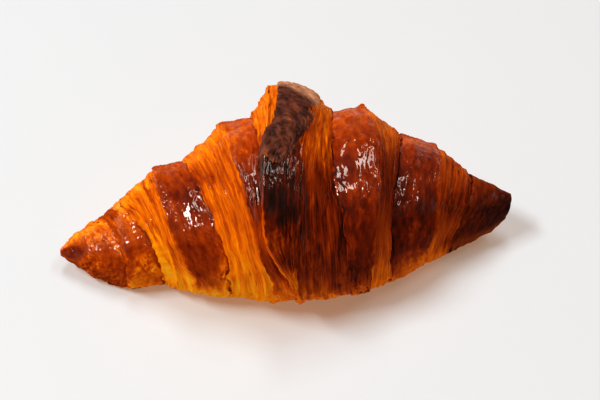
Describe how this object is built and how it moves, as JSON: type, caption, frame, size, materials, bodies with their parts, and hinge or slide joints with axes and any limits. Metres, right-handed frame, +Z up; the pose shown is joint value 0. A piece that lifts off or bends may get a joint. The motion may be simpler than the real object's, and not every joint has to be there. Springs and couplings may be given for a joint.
{
  "type": "croissant",
  "caption": "Whole straight butter croissant, dark baked, with stepped turns of laminated dough and the tail of the dough lying over its crown.",
  "frame": {"origin": "on the table, under the middle of the croissant's length and depth", "axes": "+X along the roll from its left point to its right point, +Y to its back, +Z up"},
  "size_m": [0.1704, 0.084, 0.067],
  "materials": {
    "crust": "baked dough crust: egg-washed faces glossy, cut edges matt and flaky"
  },
  "bodies": {
    "root": {"croissant": "crust"}
  },
  "joints": []
}
